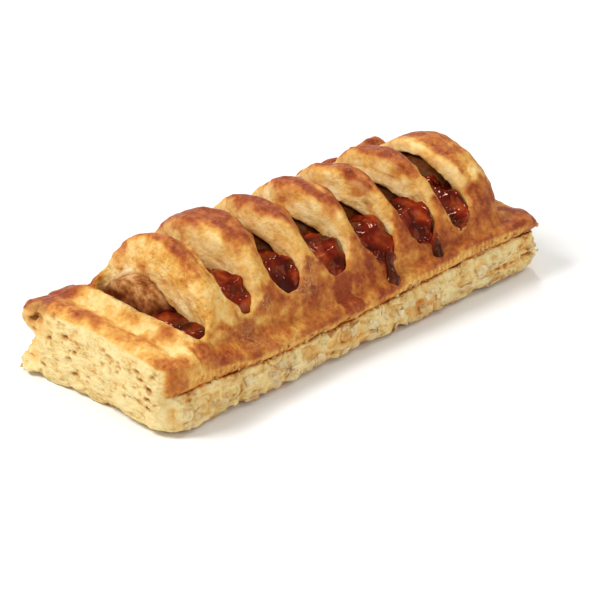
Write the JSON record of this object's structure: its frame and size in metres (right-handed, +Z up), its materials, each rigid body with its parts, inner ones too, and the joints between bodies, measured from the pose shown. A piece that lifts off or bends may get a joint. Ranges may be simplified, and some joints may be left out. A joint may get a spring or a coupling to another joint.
{
  "type": "sausage roll",
  "caption": "Long slashed sausage roll: a sausage in tomato sauce between two sheets of browned puff pastry, the upper one cut across into ribs over a rounded dome, both ends puffed.",
  "frame": {"origin": "on the table, under the middle of the roll's bounding box", "axes": "+X along the roll from its high puffed end to its lower end, +Y across it, +Z up"},
  "size_m": [0.1656, 0.0692, 0.0462],
  "materials": {
    "pastry_crumb": "pale cream, flaky baked dough",
    "pastry_crust": "golden to red-brown egg-glazed crust",
    "sausage": "brown, moist, finely grained meat",
    "tomato_sauce": "wet, dark red, baked tomato sauce"
  },
  "bodies": {
    "root": {"pastry_base": "pastry_crumb", "pastry_lid": "pastry_crust", "sausage": "sausage", "sauce": "tomato_sauce"}
  },
  "joints": []
}
